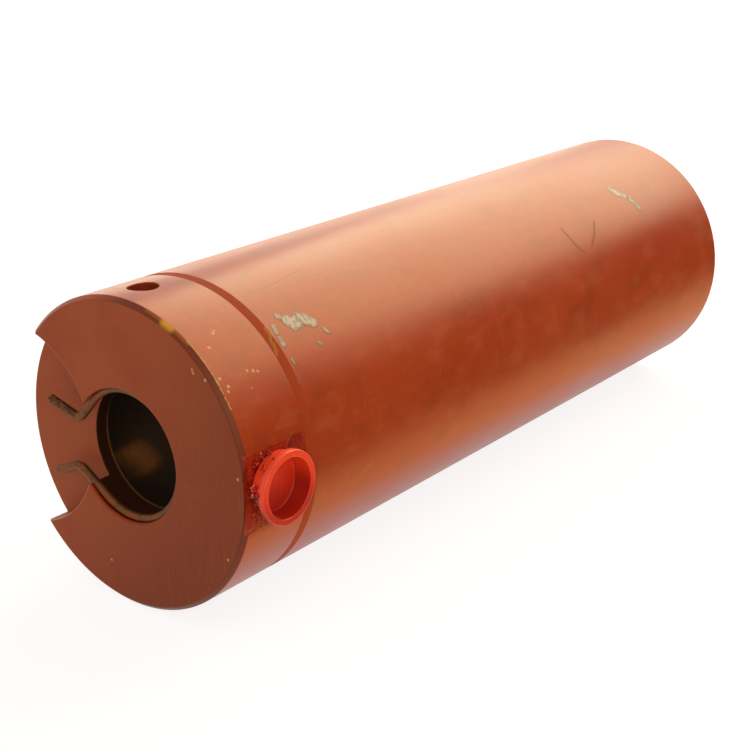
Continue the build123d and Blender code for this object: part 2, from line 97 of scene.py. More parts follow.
def placeObject(name, data):
    item = bpy.data.objects.new(name, data)
    bpy.context.scene.collection.objects.link(item)
    return item


def addPiece(name, mesh):
    data = bpy.data.meshes.new(name)
    mesh.to_mesh(data)
    mesh.free()
    return placeObject(name, data)


def mergedMesh(data):
    # Working copy of a mesh with its coinciding points made one
    mesh = bmesh.new()
    mesh.from_mesh(data)
    bmesh.ops.remove_doubles(mesh, verts=mesh.verts, dist=mergeDistance)
    return mesh


def builtMesh(piece):
    # Plain mesh of a piece with its modifiers run
    graph = bpy.context.evaluated_depsgraph_get()
    graph.update()
    return bpy.data.meshes.new_from_object(piece.evaluated_get(graph), depsgraph=graph)


def applyAll(piece):
    data = builtMesh(piece)
    piece.modifiers.clear()
    piece.data = data


def roundedOutline(points, edge, steps=3):
    # Closed outline of radius and place with its corners rounded; points on the axis stay sharp
    straightHalf = radians(86)
    longestShare = 0.45      # of the side that a rounding may take
    rounded = []
    for index, point in enumerate(points):
        here = Vector(point)
        back = Vector(points[index - 1]) - here
        ahead = Vector(points[(index + 1) % len(points)]) - here
        half = back.angle(ahead) / 2
        if here.x < onAxis or half > straightHalf:
            rounded.append(here)
            continue
        reach = min(edge / tan(half), back.length * longestShare, ahead.length * longestShare)
        start = here + back.normalized() * reach
        end = here + ahead.normalized() * reach
        for step in range(steps + 1):
            share = step / steps
            rounded.append(start.lerp(here, share).lerp(here.lerp(end, share), share))
    return rounded


def turnedPiece(name, outline, segments=320, centre=(0, 0, 0), towards="Y"):
    # Turns a closed outline of radius and place about an axis through the centre
    mesh = bmesh.new()
    centre = Vector(centre)
    rings = []
    for radius, place in outline:
        ring = []
        for index in range(segments if radius > onAxis else 1):
            turn = 2 * pi * index / segments
            across, up = radius * sin(turn), radius * cos(turn)
            point = Vector((across, place, up)) if towards == "Y" else Vector((place, up, across))
            ring.append(mesh.verts.new((centre + point) * mm))
        rings.append(ring)
    for ring, other in zip(rings, rings[1:] + rings[:1]):
        for index in range(segments):
            after = (index + 1) % segments
            corners = [ring[index % len(ring)], ring[after % len(ring)]]
            corners += [other[after % len(other)], other[index % len(other)]]
            corners = list(dict.fromkeys(corners))
            if len(corners) > 2:
                mesh.faces.new(corners)
    bmesh.ops.recalc_face_normals(mesh, faces=mesh.faces)
    piece = addPiece(name, mesh)
    shadeEvenly(piece)
    return piece


def softenedCopy(name, node, edge):
    # Copy of a CAD mesh, merged, with its flat faces whole and its sharp edges rounded
    flatWithin, sharpFrom = radians(0.4), radians(35)
    mesh = mergedMesh(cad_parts[node].data)
    bmesh.ops.dissolve_limit(mesh, angle_limit=flatWithin, verts=mesh.verts, edges=mesh.edges)
    piece = addPiece(name, mesh)
    bevel = piece.modifiers.new("edges", "BEVEL")
    bevel.width = edge * mm
    bevel.segments = 2
    bevel.limit_method = "ANGLE"
    bevel.angle_limit = sharpFrom
    bevel.use_clamp_overlap = False
    bevel.miter_outer = "MITER_ARC"
    applyAll(piece)
    shadeEvenly(piece)
    return piece


def shadeEvenly(piece):
    # Smooth shading that keeps flat faces flat up to their rounded edges
    piece.data.shade_smooth()
    piece.data.set_sharp_from_angle(angle=radians(40))
    weighted = piece.modifiers.new("normals", "WEIGHTED_NORMAL")
    weighted.keep_sharp = True
    applyAll(piece)


def dress(piece, material, bodyName, *nodes, slot=None):
    piece.data.materials.clear()
    piece.data.materials.append(material)
    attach(piece, bodyName)
    if nodes:
        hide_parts(*nodes)
    return piece


print("camera, floor and lights")

bpy.context.scene.view_settings.view_transform = "Standard"

view = {
    "place": (0.43112, -0.38982, 0.24332),
    "forward": (-0.5711, 0.7472, -0.3399),
    "lens": 70.6,
}
camera = placeObject("camera", bpy.data.cameras.new("camera"))
camera.data.lens = view["lens"]
camera.data.sensor_width = 36
camera.data.clip_start = 0.01
camera.location = view["place"]
camera.rotation_euler = Vector(view["forward"]).to_track_quat("-Z", "Y").to_euler()
bpy.context.scene.camera = camera

studio = {
    "floorHeight": -0.0701,
    "floorSize": 24.0,
    "floorColour": "EDEBE6",
    "seenWhite": 0.86,       # plain white that the camera sees, the rest comes from the lit floor
    "seenShadow": 0.24,      # how much of the lit floor, and so of its shadow, the camera sees
    "skyColour": "FFF6EA",
    "skyStrength": 0.52,
}


def seenStraight(tree):
    # 1 for what the camera, a reflection or a see-through piece looks at, 0 for what only lights
    path = addNode(tree, "ShaderNodeLightPath")
    seen = addNode(tree, "ShaderNodeMath",
                   {0: path.outputs["Is Camera Ray"], 1: path.outputs["Is Glossy Ray"]},
                   operation="MAXIMUM")
    return addNode(tree, "ShaderNodeMath",
                   {0: seen, 1: path.outputs["Is Transmission Ray"]}, operation="MAXIMUM")


def makeFloor():
    material, tree = newMaterial("studioFloor")
    lit = addNode(tree, "ShaderNodeBsdfDiffuse", {"Color": hexColour(studio["floorColour"])})
    white = addNode(tree, "ShaderNodeEmission",
                    {"Color": (1, 1, 1, 1), "Strength": studio["seenWhite"]})
    faint = (studio["seenShadow"],) * 3 + (1,)
    shadow = addNode(tree, "ShaderNodeBsdfDiffuse", {"Color": faint})
    background = addNode(tree, "ShaderNodeAddShader", {0: white, 1: shadow})
    both = addNode(tree, "ShaderNodeMixShader", {0: seenStraight(tree), 1: lit, 2: background})
    addNode(tree, "ShaderNodeOutputMaterial", {"Surface": both})
    mesh = bmesh.new()
    half = studio["floorSize"] / 2
    corners = ((-half, -half), (half, -half), (half, half), (-half, half))
    mesh.faces.new([mesh.verts.new((x, y, studio["floorHeight"])) for x, y in corners])
    floor = addPiece("studioFloor", mesh)
    floor.data.materials.append(material)


makeFloor()

# Cards that only reflections see, low on the right: a tan one beside the barrel, a black one past it
cards = {
    "tanCard": {
        "colour": "F6BE84",
        "strength": 1.7,
        "height": -0.0696,
        "points": ((0.068, 0.0), (0.128, -0.02), (0.142, 1.2), (0.068, 1.2)),
        "wall": (),
        "wallTop": 0.0,
    },
    "blackCard": {
        "colour": "1A1512",
        "strength": 1.0,
        "height": -0.0695,
        "points": ((0.128, -0.25), (3.2, -0.6), (3.2, 1.3), (1.5, 3.2), (0.75, 3.2), (0.142, 1.2)),
        "wall": ((3.2, -0.6), (3.2, 1.3), (1.5, 3.2), (0.75, 3.2)),
        "wallTop": 1.1,
    },
}


def makeCard(name, card):
    material, tree = newMaterial(name)
    face = addNode(tree, "ShaderNodeEmission",
                   {"Color": hexColour(card["colour"]), "Strength": card["strength"]})
    addNode(tree, "ShaderNodeOutputMaterial", {"Surface": face})
    mesh = bmesh.new()
    mesh.faces.new([mesh.verts.new((x, y, card["height"])) for x, y in card["points"]])
    for start, end in zip(card["wall"], card["wall"][1:]):
        lower = [mesh.verts.new((x, y, card["height"])) for x, y in (start, end)]
        upper = [mesh.verts.new((x, y, card["wallTop"])) for x, y in (end, start)]
        mesh.faces.new(lower + upper)
    piece = addPiece(name, mesh)
    piece.data.materials.append(material)
    piece.visible_camera = False
    piece.visible_diffuse = False
    piece.visible_shadow = False
    piece.visible_transmission = False


for name, card in cards.items():
    makeCard(name, card)


def makeWorld():
    world = bpy.data.worlds.new("studio")
    bpy.context.scene.world = world
    world.use_nodes = True
    tree = world.node_tree
    tree.nodes.clear()
    room = addNode(tree, "ShaderNodeBackground",
                   {"Color": hexColour(studio["skyColour"]), "Strength": studio["skyStrength"]})
    white = addNode(tree, "ShaderNodeBackground", {"Color": (1, 1, 1, 1), "Strength": 1.0})
    both = addNode(tree, "ShaderNodeMixShader", {0: seenStraight(tree), 1: room, 2: white})
    addNode(tree, "ShaderNodeOutputWorld", {"Surface": both})


makeWorld()

lamps = {
    "softbox": {
        "place": (-0.15, 2.15, 1.55), "aim": (0, 0.2, 0), "size": (3.0, 1.5), "power": 61,
        "tint": "FFF2C8"},
    "backLeft": {
        "place": (-2.2, 2.0, 0.25), "aim": (0, 0.25, 0), "size": (2.2, 0.9), "power": 11,
        "tint": "FFE6B4"},
    "rightFill": {
        "place": (1.5, -1.3, 0.9), "aim": (0, 0.1, 0), "size": (1.2, 1.0), "power": 9,
        "tint": "FFEFD2"},
}
for name, lamp in lamps.items():
    light = placeObject(name, bpy.data.lights.new(name, "AREA"))
    light.data.shape = "RECTANGLE"
    light.data.size, light.data.size_y = lamp["size"]
    light.data.energy = lamp["power"]
    light.data.color = hexColour(lamp["tint"])[:3]
    light.location = lamp["place"]
    sight = Vector(lamp["aim"]) - Vector(lamp["place"])
    light.rotation_euler = sight.to_track_quat("-Z", "Y").to_euler()

print("enamel")


def wrapped(tree):
    # The place in millimetres: whole, per axis, without its length, out from the barrel's axis, and
    # as a skin rolled out round that axis
    coordinate = addNode(tree, "ShaderNodeTexCoord")
    place = addNode(tree, "ShaderNodeVectorMath", {0: coordinate.outputs["Object"], "Scale": 1 / mm},
                    operation="SCALE")
    parts = addNode(tree, "ShaderNodeSeparateXYZ", {"Vector": place})
    turn = addNode(tree, "ShaderNodeMath", {0: parts.outputs["X"], 1: parts.outputs["Z"]},
                   operation="ARCTAN2")
    around = addNode(tree, "ShaderNodeMath", {0: turn, 1: outerRadius}, operation="MULTIPLY")
    flat = addNode(tree, "ShaderNodeVectorMath", {0: place, 1: (1, 0, 1)}, operation="MULTIPLY")
    radius = addNode(tree, "ShaderNodeVectorMath", {0: flat}, operation="LENGTH")
    skin = addNode(tree, "ShaderNodeCombineXYZ", {"X": around, "Y": parts.outputs["Y"], "Z": radius})
    return {"place": place, "across": parts.outputs["X"], "along": parts.outputs["Y"],
            "up": parts.outputs["Z"], "flat": flat, "radius": radius, "skin": skin}


def grain(tree, vector, sizes, detail=2.0, seed=0.0):
    # Noise from 0 to 1 with grains of these sizes in millimetres
    scaled = addNode(tree, "ShaderNodeVectorMath", {0: vector, 1: tuple(1 / size for size in sizes)},
                     operation="MULTIPLY")
    return addNode(tree, "ShaderNodeTexNoise",
                   {"Vector": scaled, "W": seed, "Scale": 1.0, "Detail": detail}, noise_dimensions="4D")


def together(tree, first, *others):
    # Where all of these hold; a number weakens the rest
    for other in others:
        first = addNode(tree, "ShaderNodeMath", {0: first, 1: other}, operation="MULTIPLY")
    return first


def above(tree, value, low, soft):
    # 1 from low upwards, fading over the soft width under it
    return addNode(tree, "ShaderNodeMapRange", {"Value": value, "From Min": low - soft, "From Max": low},
                   interpolation_type="SMOOTHSTEP")


def below(tree, value, high, soft):
    # 1 up to high, fading over the soft width past it
    return addNode(tree, "ShaderNodeMapRange",
                   {"Value": value, "From Min": high, "From Max": high + soft,
                    "To Min": 1.0, "To Max": 0.0}, interpolation_type="SMOOTHSTEP")


def band(tree, value, low, high, soft):
    # 1 between low and high
    return together(tree, above(tree, value, low, soft), below(tree, value, high, soft))


def nearLine(tree, place, points):
    # Millimetres to the nearest part of a line through some points
    near = None
    for start, end in zip(points, points[1:]):
        along = end - start
        offset = addNode(tree, "ShaderNodeVectorMath", {0: place, 1: start}, operation="SUBTRACT")
        share = addNode(tree, "ShaderNodeVectorMath", {0: offset, 1: along / along.length_squared},
                        operation="DOT_PRODUCT")
        share = addNode(tree, "ShaderNodeClamp", {"Value": share})
        foot = addNode(tree, "ShaderNodeVectorMath", {0: along, "Scale": share}, operation="SCALE")
        away = addNode(tree, "ShaderNodeVectorMath", {0: offset, 1: foot}, operation="DISTANCE")
        near = addNode(tree, "ShaderNodeMath", {0: near, 1: away, 2: 1.0},
                       operation="SMOOTH_MIN") if near else away
    return near


def nearPath(tree, at, points):
    # Millimetres to a path that is given on the barrel's side
    return nearLine(tree, at["place"], [onSide(*point) for point in points])


def nearPoint(tree, place, points):
    # Millimetres to the nearest of some points
    near = None
    for point in points:
        away = addNode(tree, "ShaderNodeVectorMath", {0: place, 1: point}, operation="DISTANCE")
        near = addNode(tree, "ShaderNodeMath", {0: near, 1: away}, operation="MINIMUM") if near else away
    return near


def torn(tree, near, ragged, reach, wobble, soft=0.35):
    # 1 within reach of a mark's middle, with an edge that wanders by about the wobble
    edge = addNode(tree, "ShaderNodeMath", {0: ragged, 1: wobble * 2, 2: near}, operation="MULTIPLY_ADD")
    return below(tree, edge, reach + wobble, soft)


def twoTone(tree, share, tones):
    # Colour that wanders between two tones
    return addNode(tree, "ShaderNodeMix", {0: share, 6: hexColour(tones[0]), 7: hexColour(tones[1])},
                   data_type="RGBA").outputs[2]


def layOver(tree, paint, where, colour, rough=None, lift=0.0):
    # Puts a colour on the paint where the mask or all of some masks say, with its own roughness and
    # height in millimetres
    where = together(tree, *where) if isinstance(where, tuple) else where
    shade = addNode(tree, "ShaderNodeMix", {0: where, 6: paint["colour"], 7: hexColour(colour)},
                    data_type="RGBA")
    paint["colour"] = shade.outputs[2]
    if rough is not None:
        paint["rough"] = addNode(tree, "ShaderNodeMix", {0: where, 2: paint["rough"], 3: rough})
    if lift:
        paint["height"] = addNode(tree, "ShaderNodeMath", {0: where, 1: lift, 2: paint["height"]},
                                  operation="MULTIPLY_ADD")


def finishSurface(tree, paint, **settings):
    bump = addNode(tree, "ShaderNodeBump", {"Height": paint["height"], "Distance": mm})
    shader = addNode(tree, "ShaderNodeBsdfPrincipled",
                     {"Base Color": paint["colour"], "Roughness": paint["rough"], "Normal": bump,
                      **settings})
    addNode(tree, "ShaderNodeOutputMaterial", {"Surface": shader})


# Red-brown enamel sprayed on turned steel: satin, with a soft warm shine that spreads over the top
enamel = {
    "tones": ("9C2E0C", "B24214"),
    "toneGrain": (45, 90, 45),      # millimetres round, along and out
    "roughness": (0.32, 0.39),
    "peelGrain": (1.6, 1.6, 1.6),   # orange peel of the sprayed coat
    "peelHeight": 0.018,
    "dust": "BC6E48",
    "dustAmount": 0.13,
    "dustGrain": (9, 16, 9),
    "rubsAlong": (1.3, 26, 8),
    "rubsRound": (24, 1.1, 8),
    "smudge": "6E2C16",
    "smudgeAmount": 0.20,
    "smudgeGrain": (13, 20, 13),
    "speck": "4A1E10",
    "speckAmount": 0.6,
    "speckGrain": (1.2, 1.2, 1.2),
    "speckGroups": (24, 30, 24),
    "warmShine": "FFE0B4",
}


def sprayedEnamel(tree, at):
    look = enamel
    broad = grain(tree, at["skin"], look["toneGrain"], 3)
    peel = grain(tree, at["place"], look["peelGrain"], 2, 3)
    smoothest, roughest = look["roughness"]
    paint = {
        "colour": twoTone(tree, broad, look["tones"]),
        "rough": addNode(tree, "ShaderNodeMapRange",
                         {"Value": broad, "From Min": 0.3, "From Max": 0.7,
                          "To Min": smoothest, "To Max": roughest}),
        "height": together(tree, peel, look["peelHeight"]),
    }
    # Pale handling marks along and round the barrel, and dirty smudges of a few millimetres
    rubs = addNode(tree, "ShaderNodeMath",
                   {0: grain(tree, at["skin"], look["rubsAlong"], 3, 2),
                    1: grain(tree, at["skin"], look["rubsRound"], 3, 5)}, operation="ADD")
    layOver(tree, paint, (above(tree, rubs, 1.28, 0.26), look["dustAmount"]), look["dust"], 0.5, 0.01)
    patches = grain(tree, at["skin"], look["smudgeGrain"], 4, 14)
    layOver(tree, paint, (above(tree, patches, 0.66, 0.14), look["smudgeAmount"]), look["smudge"])
    dusty = grain(tree, at["skin"], look["dustGrain"], 5, 17)
    layOver(tree, paint, (above(tree, dusty, 0.64, 0.12), look["dustAmount"]), look["dust"], 0.5)
    # Small dark specks in loose groups
    specks = grain(tree, at["place"], look["speckGrain"], 1, 9)
    groups = grain(tree, at["place"], look["speckGroups"], 1, 11)
    crowd = addNode(tree, "ShaderNodeMath", {0: groups, 1: 0.35, 2: specks}, operation="MULTIPLY_ADD")
    layOver(tree, paint, (above(tree, crowd, 0.965, 0.03), look["speckAmount"]), look["speck"])
    return paint


barrelSizes = {
    "boreRadius": 55.0,
    "threadRadius": 59.1,
    "bevelLength": 5.0,
    "bevelDepth": 1.4,
    "rimChamfer": 1.2,
    "headThreadEnd": 74.0,
    "glandThreadStart": 384.0,
    "leadChamfer": 2.0,
    "edge": 0.4,
}

barrelMarks = {
    # Grey filler smears: points along each, how far they reach, how their edges wander
    "smears": (
        (((52.6, 36.0), (53.6, 36.6)), 1.2, 1.6),
        (((56.2, 39.0), (58.6, 40.6), (61.5, 40.0)), 2.9, 2.6),
        (((64.3, 40.2), (67.4, 41.4), (68.6, 42.6)), 2.6, 2.6),
        (((72.2, 46.6), (73.0, 48.0)), 0.8, 1.6),
        (((46.6, 38.8), (46.1, 41.2)), 0.9, 1.5),
        (((45.7, 44.2), (45.5, 46.5)), 0.9, 1.4),
        (((45.3, 52.4), (45.4, 54.0)), 0.6, 0.9),
        (((64.5, 50.2), (65.3, 51.2)), 0.4, 0.9),
        (((344.0, 33.5), (346.2, 36.1), (350.2, 38.6)), 2.4, 1.9),
        (((353.8, 42.0), (354.6, 45.0), (355.4, 47.5)), 1.8, 1.9),
    ),
    "smear": "8A7668",
    "smearCrest": "A8978A",
    # Faint grey ovals on top
    "ovals": (((75.5, -1.2), (81.5, -0.6)), ((89.8, -0.6), (95, 0))),
    "oval": "A08E78",
    "rubs": (((274.4, 43.7), (276.9, 52.3), (281.6, 56.7)), ((305.7, 45.4), (299.5, 50.9), (291.1, 55))),
    "rub": "7A4424",
    "scratch": ((45.5, 23.5), (52.3, 23.3), (58.3, 22.5), (67.7, 22.5), (79, 20.6), (89.1, 19.9)),
    # Painted shade: the joint's bevel faces forward, away from the light, so its paint is darkened
    "bevel": "A43408",
    "bevelSpill": 0.2,       # how far the bevel's painted shade stops short of its end
    "primerStreak": ((42.6, 38.5), (42.1, 41.5), (41.0, 44.5), (40.2, 47.5), (39.3, 49.9)),
    "primer": "A8701C",
    "rimSteel": "D8AE74",
    "rimBand": (1.3, 0.6),   # from and to, millimetres before the far end
    "oiledSteel": "3A3029",
    "oiledWithin": 61.3,     # radius
}


def barrelEnamel():
    material, tree = newMaterial("barrelEnamel")
    marks = barrelMarks
    at = wrapped(tree)
    place = at["place"]
    paint = sprayedEnamel(tree, at)
    ragged = grain(tree, place, (3.6, 3.6, 3.6), 5, 20)
    fine = grain(tree, place, (1.1, 1.1, 1.1), 3, 21)
    lumps = grain(tree, place, (2.4, 2.4, 2.4), 2, 24)
    # The bevel at the joint is darkened as painted shade, since it faces forward, away from the light, and
    # is chipped to yellow primer beside the smears
    bevelEnd = headLength + barrelSizes["bevelLength"] - marks["bevelSpill"]
    layOver(tree, paint, below(tree, at["along"], bevelEnd, 0.3), marks["bevel"], 0.58)
    streak = nearPath(tree, at, marks["primerStreak"])
    layOver(tree, paint, (torn(tree, streak, lumps, 0.5, 1.3, 0.5), 0.85), marks["primer"], 0.3)
    for path, reach, wander in marks["smears"]:
        near = nearPath(tree, at, path)
        rim = torn(tree, near, ragged, reach + 0.7, wander, 0.5)
        layOver(tree, paint, (rim, 0.28), enamel["smudge"])
        inside = torn(tree, near, ragged, reach, wander, 0.55)
        layOver(tree, paint, inside, marks["smear"], 0.42, 0.09)
        crest = together(tree, torn(tree, near, ragged, reach - 0.9, wander, 0.9),
                         above(tree, lumps, 0.52, 0.1))
        layOver(tree, paint, crest, marks["smearCrest"], 0.25, 0.05)
    for path in marks["ovals"]:
        faint = torn(tree, nearPath(tree, at, path), ragged, 0.8, 2.2, 1.6)
        layOver(tree, paint, (faint, 0.34), marks["oval"], 0.5)
    for path in marks["rubs"]:
        rubbed = torn(tree, nearPath(tree, at, path), fine, 0.5, 0.9, 0.5)
        layOver(tree, paint, (rubbed, 0.75), marks["rub"], 0.55)
    # One long fine scratch: a dark line with a painted highlight along its lip, broken here and there
    near = nearPath(tree, at, marks["scratch"])
    broken = above(tree, ragged, 0.40, 0.1)
    # Painted highlight: the pale lip on both sides of the scratch
    layOver(tree, paint, (torn(tree, near, fine, 0.55, 0.3), broken, 0.35), enamel["dust"])
    layOver(tree, paint, (torn(tree, near, fine, 0.2, 0.3, 0.2), broken, 0.45), enamel["smudge"],
            0.5, -0.05)
    # Rubbed rim at the far end, and bare oiled steel inside it
    worn = above(tree, grain(tree, at["skin"], (7, 3, 7), 3, 30), 0.5, 0.12)
    rimStart, rimEnd = (bodyLength - back for back in marks["rimBand"])
    rim = band(tree, at["along"], rimStart, rimEnd, 0.3)
    layOver(tree, paint, (rim, worn, 0.6), marks["rimSteel"], 0.35)
    layOver(tree, paint, below(tree, at["radius"], marks["oiledWithin"], 0.2), marks["oiledSteel"], 0.4)
    finishSurface(tree, paint, **{"Specular Tint": hexColour(enamel["warmShine"])})
    return material


headMarks = {
    "sideChips": ((18.1, 32.7), (16.6, 33.4), (19.8, 50.2), (24.5, 51.4), (22.6, 50.9), (6.3, 52.7),
                  (5.2, 54.1), (17.4, 56), (9.4, 38.0), (4.6, 49.3)),
    "faceChips": ((42.3, 48.4), (42.9, 46.9), (55, 42.2), (49.3, 45.5), (65.1, 7), (58, -30.4),
                  (-12, -52)),
    "chip": "C89C6C",
    "face": "93391C",
    "facePale": "9E4A28",
    "faceShade": "7A2E14",
    "knock": "50200F",
    "notchEdgeHighlight": "C07A50",
    "chamfer": "5C1704",
    "goldSheen": "9A5414",
    "goldGlint": "F0AC2C",
    "goldSheenPath": ((1.7, 14), (1.6, 19), (1.5, 24), (1.6, 29), (1.7, 34)),
    "glintPath": ((1.5, 22.5), (1.5, 25.5)),
    "rimPath": ((2.3, 33), (2.3, 42), (2.3, 50), (2.3, 60)),
    "flat": "821408",
    "flatRidge": "A22A14",
    "flatX": 67.95,
    "flatHalfWidth": 16.8,
    "hole": "8A2A14",
    "holeRadii": (40, 69.2),
    "holeAcross": (-12, 12),
    "bore": "33170D",
    "boreRadius": 30.15,
    "grooveRadius": 33.0,
    "groove": (2.0, 6.6),
    "notchCentre": (-66.4, 0, 0),
    "notchRadius": 46.7,
    "notchFloor": 12.3,
}


def headEnamel():
    material, tree = newMaterial("headEnamel")
    marks = headMarks
    at = wrapped(tree)
    place, across, along, up, radius = (at[key] for key in ("place", "across", "along", "up", "radius"))
    paint = sprayedEnamel(tree, at)
    fine = grain(tree, place, (1.1, 1.1, 1.1), 3, 21)
    cloud = grain(tree, place, (26, 30, 34), 3, 41)
    # Front face and notch: flat, dry paint, cloudy, darkened as painted shade towards the port side and the
    # bottom, and with a few faint brush marks
    fromNotch = nearPoint(tree, at["flat"], [marks["notchCentre"]])
    inNotch = together(tree, below(tree, fromNotch, marks["notchRadius"] + 0.1, 0.2),
                       below(tree, along, marks["notchFloor"], 0.3))
    front = below(tree, along, 0.25, 0.3)
    matt = addNode(tree, "ShaderNodeMath", {0: front, 1: inNotch}, operation="MAXIMUM")
    layOver(tree, paint, matt, marks["face"], 0.62)
    layOver(tree, paint, (matt, above(tree, cloud, 0.55, 0.25), 0.55), marks["facePale"])
    # Painted shade: the face darkens towards the port side and the bottom
    lower = addNode(tree, "ShaderNodeMath", {0: up, 1: -0.6, 2: across}, operation="MULTIPLY_ADD")
    layOver(tree, paint, (matt, above(tree, lower, 70, 110), 0.9), marks["faceShade"])
    brush = grain(tree, place, (1.2, 10, 22), 3, 43)
    layOver(tree, paint, (matt, above(tree, brush, 0.66, 0.12), 0.30), marks["facePale"], 0.7)
    lines = grain(tree, place, (26, 10, 0.9), 3, 44)
    layOver(tree, paint, (matt, above(tree, lines, 0.72, 0.08), 0.22), enamel["dust"])
    knocks = grain(tree, place, (1.9, 1.9, 2.6), 2, 47)
    layOver(tree, paint, (matt, above(tree, knocks, 0.765, 0.03), 0.55), marks["knock"], 0.5, -0.05)
    # Painted highlight: a pale line along the notch's edge on the face
    notchEdge = band(tree, fromNotch, marks["notchRadius"] - 0.1, marks["notchRadius"] + 0.3, 0.2)
    layOver(tree, paint, (notchEdge, below(tree, along, 0.5, 0.3), 0.6),
            marks["notchEdgeHighlight"], 0.4)
    # Front chamfer: darkened as painted shade, with a painted gold sheen and glint near the top, and a
    # rubbed rim beside it
    chamfer = together(tree, band(tree, along, 0.2, 1.9, 0.3), above(tree, radius, 68.0, 0.4),
                       above(tree, across, 6, 22))
    # Painted shade: the chamfer's paint is darkened towards the port side
    layOver(tree, paint, (chamfer, 0.85), marks["chamfer"], 0.45)
    # Painted highlight: a gold sheen along the chamfer, with a brighter painted glint on it
    goldSheen = nearPath(tree, at, marks["goldSheenPath"])
    onEdge = band(tree, along, 0.15, 2.1, 0.2)
    layOver(tree, paint, (torn(tree, goldSheen, fine, 0.1, 0.3, 1.3), onEdge), marks["goldSheen"], 0.25)
    glint = nearPath(tree, at, marks["glintPath"])
    layOver(tree, paint, (torn(tree, glint, fine, 0.0, 0.3, 3.4), onEdge, 0.85), marks["goldGlint"], 0.2)
    rim = nearPath(tree, at, marks["rimPath"])
    layOver(tree, paint, (torn(tree, rim, fine, 0.15, 0.5, 0.3), 0.7), marks["chip"], 0.4)
    # Chips down to pale primer
    chipped = grain(tree, place, (2.1, 2.1, 2.1), 2, 23)
    for spots, reach in (([onSide(*spot) for spot in marks["sideChips"]], 0.45),
                         ([onFace(*spot) for spot in marks["faceChips"]], 0.35)):
        near = nearPoint(tree, place, spots)
        bare = together(tree, torn(tree, near, chipped, reach, 0.9, 0.4), 0.85)
        layOver(tree, paint, bare, marks["chip"], 0.5, -0.05)
    # Milled flat: wet dark red paint that ran and ridged round the plug; its darker red is partly painted
    # shade
    flat = together(tree, band(tree, across, 60, marks["flatX"], 0.12),
                    band(tree, up, -marks["flatHalfWidth"], marks["flatHalfWidth"], 0.3),
                    above(tree, radius, 60, 1.0), above(tree, along, 1.0, 0.5))
    runs = grain(tree, place, (5, 3.2, 6), 3, 50)
    # Partly painted shade: the flat's red is darker than the rest of the enamel
    layOver(tree, paint, flat, marks["flat"], 0.35)
    layOver(tree, paint, (flat, above(tree, runs, 0.52, 0.10)), marks["flatRidge"], 0.25, 0.12)
    # Inside the spanner holes, the socket and the clip's groove
    hole = together(tree, band(tree, radius, *marks["holeRadii"], 0.3),
                    band(tree, across, *marks["holeAcross"], 1.0), above(tree, along, 3, 0.5))
    layOver(tree, paint, hole, marks["hole"], 0.5)
    bore = together(tree, below(tree, radius, marks["boreRadius"], 0.15), above(tree, along, 2.0, 0.3))
    layOver(tree, paint, bore, marks["bore"], 0.45)
    groove = together(tree, below(tree, radius, marks["grooveRadius"], 0.15),
                      band(tree, along, *marks["groove"], 0.2))
    layOver(tree, paint, groove, marks["bore"], 0.45)
    finishSurface(tree, paint, **{"Specular Tint": hexColour(enamel["warmShine"])})
    return material


print("metals, rubber and plastic")


def workedSurface(name, colour, other, roughness, grainSize, turningPitch=0.0, lift=0.01, **settings):
    # Two tones in clouds, a fine grain, and turning marks round the axis where their pitch is given
    material, tree = newMaterial(name)
    at = wrapped(tree)
    cloud = grain(tree, at["place"], (grainSize,) * 3, 4, 1)
    fine = grain(tree, at["place"], (grainSize / 9,) * 3, 2, 4)
    if turningPitch:
        rings = grain(tree, at["skin"], (60, turningPitch, turningPitch), 2, 7)
        fine = addNode(tree, "ShaderNodeMath", {0: fine, 1: rings}, operation="ADD")
    rough = addNode(tree, "ShaderNodeMapRange",
                    {"Value": cloud, "From Min": 0.3, "From Max": 0.7,
                     "To Min": roughness * 0.85, "To Max": roughness * 1.2})
    paint = {"colour": twoTone(tree, above(tree, cloud, 0.55, 0.25), (colour, other)), "rough": rough,
             "height": together(tree, fine, lift)}
    finishSurface(tree, paint, **settings)
    return material


seatLook = {
    "tones": ("120D0A", "1C130D"),
    "rimHighlight": "8A5C2C",
    "rimPlace": (17.4, 17.9),    # millimetres behind the front face
    "lightPool": "744420",
    "lightPoolPath": ((-22, -12), (-16, -17)),
    "tint": "A8805C",
}


def greasySeat():
    # Ground steel seat under old grease: near black, with a painted highlight on the lower part of its rim
    # and a painted pool of light low inside
    material, tree = newMaterial("greasySeatSteel")
    at = wrapped(tree)
    fine = grain(tree, at["place"], (2.2, 2.2, 2.2), 3, 4)
    paint = {"colour": twoTone(tree, fine, seatLook["tones"]), "rough": 0.55,
             "height": together(tree, fine, 0.02)}
    # Painted highlight: a thin line along the seat's front edge, lower part only
    rim = together(tree, band(tree, at["along"], *seatLook["rimPlace"], 0.12),
                   below(tree, at["up"], -6, 22), 0.5)
    layOver(tree, paint, rim, seatLook["rimHighlight"], 0.3)
    # Painted light: a brown pool of light on the seat's lower inside
    lightPool = nearLine(tree, at["flat"], [onFace(*point) for point in seatLook["lightPoolPath"]])
    layOver(tree, paint, (torn(tree, lightPool, fine, 0.2, 1.5, 6), 0.7), seatLook["lightPool"])
    finishSurface(tree, paint, **{"Specular Tint": hexColour(seatLook["tint"])})
    return material


wireLook = {
    "tones": ("3C2A1A", "6B4C30"),
    "overspray": "8A4426",
    "darkPaint": "2A1C14",
    "upperLeg": (-34, 5),        # the dark paint is on the leg that is past this across and up
    "tint": "FFC890",
}


